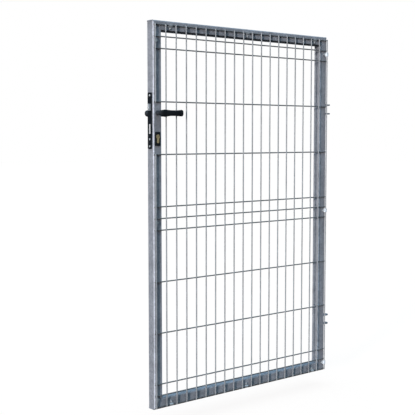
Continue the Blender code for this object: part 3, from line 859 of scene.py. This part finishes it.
def ground_finish(name, colour, roughness, along):
    """Steel with fine lines along one axis, as a belt or a die leaves them."""
    material, tree, shader, place = new_finish(name, roughness, 0.40, 0.4)
    stretch = [1600.0, 1600.0, 1600.0]
    stretch[along] = 60.0
    lined = add_node(tree, "ShaderNodeMapping", {"Vector": place, "Scale": stretch})
    lines = noise(tree, lined.outputs["Vector"], 1, 3)
    shade = mottled(tree, lines, 0.82, 1.12)
    dullness = mottled(tree, lines, roughness - 0.06, roughness + 0.12)
    set_surface(tree, shader, colour, shade, dullness, lines, 0.00003)
    return material


drawn_steel = ground_finish("drawn_square_steel", LOCK_STEEL, roughness=0.36, along=1)
lock_finishes = {
    "dead_bolt": ground_finish("ground_steel_bolt", LOCK_STEEL, roughness=0.34, along=2),
    "latch_bolt": ground_finish("cast_steel_latch", LATCH_STEEL, roughness=0.42, along=2),
    "lock_case": plated_finish("plated_case_sheet", LOCK_STEEL, roughness=0.38, grain_per_metre=900),
    "handle_spindle": drawn_steel,
}
for node, steel in lock_finishes.items():
    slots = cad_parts[node].data.materials
    slots.clear()
    slots.append(steel)


# Levers: moulded in black glass-filled nylon round a steel core, one on each side. The
# round neck turns into a flat grip with a thicker head and a squared tip.

NECK_DIAMETER = 0.018
ELBOW = 0.0014
HEAD_HEIGHT = 0.0276
HEAD_DROP = 0.0013
HEAD_FADE = 2.5
GRIP_HEIGHT = 0.0216
GRIP_DROP = 0.0005
GRIP_THICK = 0.012
GRIP_SQUARE = 0.7
TIP_HEIGHT = 0.0252
TIP_CORNER = 0.008
TIP_EDGE = 0.004
LEVER_GAP = 0.0003
FOOT_EDGE = 0.0008
LEVER_SIDES = 48
BEND_STEPS = 16
GRIP_STEPS = 24
BLACK_NYLON = (0.016, 0.018, 0.021)
# Painted highlight on the lever's neck, fading out through the bend to the grip.
NECK_HIGHLIGHT_GAIN = 1.6

lever_low, lever_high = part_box("lever_front")
lever_depth = front_face - lever_low.y
lever_length = lever_high.x - axis_x


def lever_stations():
    """Place along X, distance from the tube's face, direction angle, height, thickness
    and drop of each section, from the neck's foot to the tip."""
    line = lever_depth - GRIP_THICK / 2
    turn = NECK_DIAMETER / 2 + GRIP_THICK / 4
    neck = NECK_DIAMETER
    foot = neck - 2 * FOOT_EDGE
    stations = [(0, LEVER_GAP, 90, foot, foot, 0), (0, LEVER_GAP + FOOT_EDGE, 90, neck, neck, 0),
                (0, line - turn, 90, neck, neck, 0)]
    for step in range(1, BEND_STEPS + 1):
        share = step / BEND_STEPS
        angle = 90 * (1 - share)
        x = turn * (1 - sin(radians(angle)))
        out = line - turn * (1 - cos(radians(angle)))
        height = neck + (HEAD_HEIGHT - neck) * share
        thick = neck + (GRIP_THICK - neck) * share
        bulge = ELBOW * sin(radians(2 * angle)) ** 2
        x -= bulge * sin(radians(angle))
        out += bulge * cos(radians(angle))
        stations.append((x, out, angle, height, thick + 2 * bulge, HEAD_DROP * share))
    head_end = turn + HEAD_HEIGHT / 4
    tip_start = lever_length - TIP_CORNER
    for step in range(GRIP_STEPS + 1):
        share = step / GRIP_STEPS
        x = head_end + (tip_start - head_end) * share
        head = max(0.0, 1 - HEAD_FADE * share) ** 2
        flare = max(0.0, 2 * share - 1) ** 2
        height = GRIP_HEIGHT + (HEAD_HEIGHT - GRIP_HEIGHT) * head
        height += (TIP_HEIGHT - GRIP_HEIGHT) * flare
        drop = GRIP_DROP + (HEAD_DROP - GRIP_DROP) * head - GRIP_DROP * flare
        stations.append((x, line, 0, height, GRIP_THICK, drop))
    for angle in range(10, 91, 10):
        spare = 1 - cos(radians(angle))
        stations.append((tip_start + TIP_CORNER * sin(radians(angle)), line, 0,
                         TIP_HEIGHT - 2 * TIP_CORNER * spare, GRIP_THICK - 2 * TIP_EDGE * spare, 0))
    return stations


def lever_ring(station, side):
    """A rounded section, round at the neck and flatter along the grip."""
    x, out, angle, height, thick, drop = station
    squareness = GRIP_SQUARE + (1 - GRIP_SQUARE) * angle / 90
    lean = radians(angle)
    ring = []
    for index in range(LEVER_SIDES):
        turn = 2 * pi * (index + 0.5) / LEVER_SIDES
        across = copysign(abs(cos(turn)) ** squareness, cos(turn)) * thick / 2
        tall = copysign(abs(sin(turn)) ** squareness, sin(turn)) * height / 2
        place_out = tube_side / 2 + out + across * cos(lean)
        ring.append((axis_x + x - across * sin(lean), side * place_out, handle_z - drop + tall))
    return ring


def loft(name, rings, shades):
    """Skins a row of rings, each with the painted highlight that its shade gives, and closes both
    ends.
    """
    builder = bmesh.new()
    bright = builder.verts.layers.float.new("bright")
    rows = []
    for ring, ring_highlight in zip(rings, shades):
        rows.append([builder.verts.new(point) for point in ring])
        for corner in rows[-1]:
            corner[bright] = ring_highlight
    skin(builder, rows)
    builder.faces.new(rows[0])
    builder.faces.new(rows[-1])
    return make_piece(name, builder, sharp_angle=50)


nylon = painted_finish("black_nylon", BLACK_NYLON, roughness=0.44, grains_per_metre=2600,
                       depth=0.00004, gain=NECK_HIGHLIGHT_GAIN)
stations = lever_stations()
# Each ring's painted highlight: full on the neck, none along the grip.
neck_highlights = [(station[2] / 90) ** 2 for station in stations]
for end, side in (("front", -1), ("rear", 1)):
    lever = loft("lever_handle_" + end, [lever_ring(station, side) for station in stations], neck_highlights)
    dress(lever, "handle", "black_plastic", nylon, "lever_" + end)


# Grub screws: one in the underside of each lever's neck, which clamps it to the spindle.
# Plain steel with a hexagon recess, sunk nearly flush.

GRUB_RADIUS = 0.0025
GRUB_LENGTH = 0.0036
GRUB_EDGE = 0.0004
GRUB_SUNK = 0.0034
GRUB_KEY = 0.0015
GRUB_KEY_DEPTH = 0.0018
GRUB_OUT = 0.011

grub_profile = [(0, 0.0), (GRUB_RADIUS, 0.0), (GRUB_RADIUS, GRUB_EDGE - GRUB_LENGTH),
                (GRUB_RADIUS * 0.85, -GRUB_LENGTH), (0, -GRUB_LENGTH)]
grub = turned("grub", grub_profile, steps=24)
hexagon = circle(0, 0, GRUB_KEY, 6)
carve(grub, make_prism("key_recess", hexagon, "Y", -GRUB_LENGTH - CUT_PAST, -GRUB_KEY_DEPTH))
for corner in grub.data.vertices:
    across, deep, tall = corner.co
    corner.co = (across, -tall, deep)
grub_y = tube_side / 2 + GRUB_OUT
grub_z = handle_z - NECK_DIAMETER / 2 + GRUB_SUNK
grub_spots = [(axis_x, -grub_y, grub_z), (axis_x, grub_y, grub_z)]
grub_screws = set_out("lever_grub_screws", grub, grub_spots, [0.0, 0.0], drawn_steel)
dress(grub_screws, "handle", "lock_steel", drawn_steel)


# Profile cylinder: a brass body through stile and case, and a turned brass plug with a
# keyway at each end.

PLUG_RIM = 0.0017
BODY_EDGE = 0.0003
KEYWAY_WIDTH = 0.0016
KEYWAY_TALL = 0.0085
KEYWAY_STEP = 0.0009
KEYWAY_DEPTH = 0.014
BRASS = (0.315, 0.262, 0.145)


def brass_finish(name, colour, roughness):
    """Satin brass, turned and a little dulled, with darker spots where it is handled."""
    material, tree, shader, place = new_finish(name, roughness, 0.45, 0.3)
    lined = add_node(tree, "ShaderNodeMapping", {"Vector": place, "Scale": (900, 90, 900)})
    lines = noise(tree, lined.outputs["Vector"], 1, 3)
    tarnish = ramp_value(tree, noise(tree, place, 260, 4), 0.78, 1.10, 0.35, 0.65)
    shade = work_out(tree, "MULTIPLY", tarnish, mottled(tree, lines, 0.92, 1.06))
    dullness = mottled(tree, lines, roughness - 0.05, roughness + 0.12)
    set_surface(tree, shader, colour, shade, dullness, lines, 0.00002)
    return material


brass = brass_finish("satin_brass", BRASS, roughness=0.36)
body = make_prism("profile_cylinder", profile_outline(), "Y", cylinder_low.y, cylinder_high.y)
ease_edges(body, BODY_EDGE, segments=2, sharper_than=60)
for end, side in (("front", -1), ("rear", 1)):
    plug_low, plug_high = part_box("cylinder_plug_" + end)
    plug_radius = (plug_high.x - plug_low.x) / 2
    plug_end = cylinder_high.y * side
    plug_length = plug_high.y - plug_low.y
    cut_start = plug_end + side * CUT_PAST
    bore = circle(axis_x, cylinder_z, plug_radius + CUT_GAP)
    carve(body, make_prism("bore", bore, "Y", cut_start, plug_end - side * (plug_length + CUT_GAP)))
    plug_profile = [(0, plug_end)]
    for out, back in arc(plug_radius - PLUG_RIM, PLUG_RIM, PLUG_RIM, -90, 0, 5):
        plug_profile.append((out, plug_end - side * back))
    plug_back = plug_end - side * plug_length
    plug_profile += [(plug_radius, plug_back), (0, plug_back)]
    plug = turned("key_plug_" + end, plug_profile, steps=48)
    half = KEYWAY_WIDTH / 2
    wide = half + KEYWAY_STEP
    narrow = -half - KEYWAY_STEP / 2
    top = KEYWAY_TALL / 2
    keyway = [(-half, -top), (half, -top), (half, -top * 0.45), (wide, -top * 0.3),
              (wide, top * 0.05), (half, top * 0.2), (half, top), (-half, top),
              (-half, top * 0.62), (narrow, top * 0.5), (narrow, top * 0.3), (-half, top * 0.16)]
    carve(plug, make_prism("keyway", keyway, "Y", cut_start, plug_end - side * KEYWAY_DEPTH))
    for corner in plug.data.vertices:
        corner.co.x += axis_x
        corner.co.z += cylinder_z
    dress(plug, "key_plug" if end == "front" else "leaf", "cylinder_brass", brass,
          "cylinder_plug_" + end)
dress(body, "leaf", "cylinder_brass", brass, "cylinder_body")


# Cylinder plates: a small moulded escutcheon on each side, pushed on round the cylinder
# and held by it against the stile.

PLATE_CORNER = 0.003
PLATE_EDGE = 0.0012

for end in ("front", "rear"):
    low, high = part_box("cylinder_plate_" + end)
    outline = rounded_rectangle(high.x - low.x, high.z - low.z, PLATE_CORNER)
    outline = moved(outline, axis_x, (low.z + high.z) / 2)
    plate = make_prism("escutcheon_" + end, outline, "Y", low.y, high.y)
    ease_edges(plate, PLATE_EDGE, segments=4)
    carve(plate, make_prism("window", profile_outline(CUT_GAP), "Y",
                            low.y - CUT_PAST, high.y + CUT_PAST))
    dress(plate, "leaf", "black_plastic", nylon, "cylinder_plate_" + end)


# Hinge lugs: flat steel with a round end, drilled for the hinge pin, welded on in pairs
# and galvanised with the frame.

LUG_HOLE = 0.0125
LUG_EDGE = 0.0007
LUG_BEAD = 0.0022
LUG_BEAD_SINK = 0.35
LUG_RIPPLE = 0.08

lug_beads = []
lug_bead_edges = []
for node in sorted(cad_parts):
    if "_hinge_lug_" in node:
        low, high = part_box(node)
        radius = (high.y - low.y) / 2
        pin_x = high.x - radius
        outline = [(low.x, -radius)]
        outline += arc(pin_x, 0, radius, -90, 90, 32)
        outline += [(low.x, radius)]
        lug = make_prism(node.replace("_hinge_lug_", "_lug_"), outline, "Z", low.z, high.z)
        hole = circle(pin_x, 0, LUG_HOLE / 2)
        carve(lug, make_prism("pin_hole", hole, "Z", low.z - CUT_PAST, high.z + CUT_PAST))
        ease_edges(lug, LUG_EDGE, sharper_than=60)
        dress(lug, "leaf", "hinge_lug_steel", zinc, node)
        start = len(lug_beads)
        root = leaf_right - LUG_BEAD * LUG_BEAD_SINK
        for y, z in ((-radius, low.z), (radius, low.z), (radius, high.z), (-radius, high.z)):
            lug_beads.append((root, y, z))
        lug_bead_edges += [(start + side, start + (side + 1) % 4) for side in range(4)]
lay_welds("lug_welds", lug_beads, lug_bead_edges, LUG_BEAD, LUG_RIPPLE, "hinge_lug_steel")


# Studio: a white floor a hand's breadth under the leaf and a white surround. A narrow and a
# broad lamp light it low from the left, and a cool sky from above. The floor is a warm grey,
# which the blue sky turns neutral, and gives little light back to the leaf.

FLOOR_DROP = 0.060
FLOOR_SPAN = 60.0
FLOOR_GLOW = 0.85
FLOOR_COLOUR = (0.22, 0.15, 0.12)
FLOOR_BOUNCE = 0.04
ZENITH = (0.43, 0.68, 0.88)
ZENITH_STRENGTH = 2.9
SKY_START = 0.70
KEY_DIRECTION = Vector((-0.80, -0.36, 0.13))
KEY_WIDTH = 5.0
KEY_LEVEL = 0.68
FILL_DIRECTION = Vector((-0.90, -0.42, 0.02))
FILL_WIDTH = 40.0
FILL_LEVEL = 0.26
LAMP_COLOUR = (1.01, 0.965, 0.95)


def seen_directly(tree):
    """1 for what the camera, a reflection or glass sees, 0 for light on the object."""
    path = add_node(tree, "ShaderNodeLightPath").outputs
    seen = work_out(tree, "MAXIMUM", path["Is Camera Ray"], path["Is Glossy Ray"])
    return work_out(tree, "MAXIMUM", seen, path["Is Transmission Ray"])


floor_builder = bmesh.new()
bmesh.ops.create_grid(floor_builder, x_segments=1, y_segments=1, size=FLOOR_SPAN / 2,
                      matrix=Matrix.Translation((0, 0, leaf_bottom - FLOOR_DROP)))
floor = make_piece("floor", floor_builder)
floor_white = bpy.data.materials.new("floor_white")
floor_white.use_nodes = True
floor_tree = floor_white.node_tree
floor_tree.nodes.clear()
bounce = add_node(floor_tree, "ShaderNodeBsdfDiffuse",
                  {"Color": (FLOOR_BOUNCE, FLOOR_BOUNCE, FLOOR_BOUNCE, 1)})
pale = add_node(floor_tree, "ShaderNodeBsdfDiffuse", {"Color": (*FLOOR_COLOUR, 1)})
glow = add_node(floor_tree, "ShaderNodeEmission", {"Color": (1, 1, 1, 1), "Strength": FLOOR_GLOW})
shown = add_node(floor_tree, "ShaderNodeAddShader", {0: pale.outputs[0], 1: glow.outputs[0]})
choice = add_node(floor_tree, "ShaderNodeMixShader",
                  {"Fac": seen_directly(floor_tree), 1: bounce.outputs[0], 2: shown.outputs[0]})
add_node(floor_tree, "ShaderNodeOutputMaterial", {"Surface": choice.outputs[0]})
floor.data.materials.append(floor_white)

world = bpy.data.worlds.new("studio")
bpy.context.scene.world = world
world.use_nodes = True
sky_tree = world.node_tree
sky_tree.nodes.clear()
direction = add_node(sky_tree, "ShaderNodeTexCoord").outputs["Generated"]
height = add_node(sky_tree, "ShaderNodeSeparateXYZ", {"Vector": direction}).outputs["Z"]
shades = add_node(sky_tree, "ShaderNodeValToRGB", {"Fac": ramp_value(sky_tree, height, 0, 1, -1, 1)})
shades.color_ramp.elements[0].position = SKY_START
shades.color_ramp.elements[0].color = (0, 0, 0, 1)
shades.color_ramp.elements[1].position = 1.0
shades.color_ramp.elements[1].color = (*ZENITH, 1)
lighting = add_node(sky_tree, "ShaderNodeBackground",
                    {"Color": shades.outputs["Color"], "Strength": ZENITH_STRENGTH})
backdrop = add_node(sky_tree, "ShaderNodeBackground", {"Color": (1, 1, 1, 1), "Strength": 1.0})
surround = add_node(sky_tree, "ShaderNodeMixShader",
                    {"Fac": seen_directly(sky_tree), 1: lighting.outputs[0], 2: backdrop.outputs[0]})
add_node(sky_tree, "ShaderNodeOutputWorld", {"Surface": surround.outputs[0]})


def add_lamp(name, direction, width, level):
    """A far lamp, so many degrees wide. At level 1, a white face turned to it shows white."""
    lamp = bpy.data.lights.new(name, "SUN")
    lamp.color = LAMP_COLOUR
    lamp.angle = radians(width)
    lamp.energy = level * pi
    holder = bpy.data.objects.new(name, lamp)
    holder.rotation_euler = direction.to_track_quat("Z", "Y").to_euler()
    bpy.context.scene.collection.objects.link(holder)


add_lamp("key_lamp", KEY_DIRECTION, KEY_WIDTH, KEY_LEVEL)
add_lamp("fill_lamp", FILL_DIRECTION, FILL_WIDTH, FILL_LEVEL)


# Camera: the photograph's viewpoint, nearly four metres off, left of the leaf and at about
# the lock's height, as the wires of the mesh give it.

CAMERA_PLACE = (-3.0707, -2.8091, 0.8115)
CAMERA_TILT = 4.414
CAMERA_TURN = -40.33
CAMERA_LENS = 79.67

view = bpy.data.cameras.new("camera")
view.lens = CAMERA_LENS
camera = bpy.data.objects.new("camera", view)
camera.location = CAMERA_PLACE
camera.rotation_euler = (radians(90 - CAMERA_TILT), 0, radians(CAMERA_TURN))
bpy.context.scene.collection.objects.link(camera)
bpy.context.scene.camera = camera
bpy.context.scene.view_settings.view_transform = "Standard"
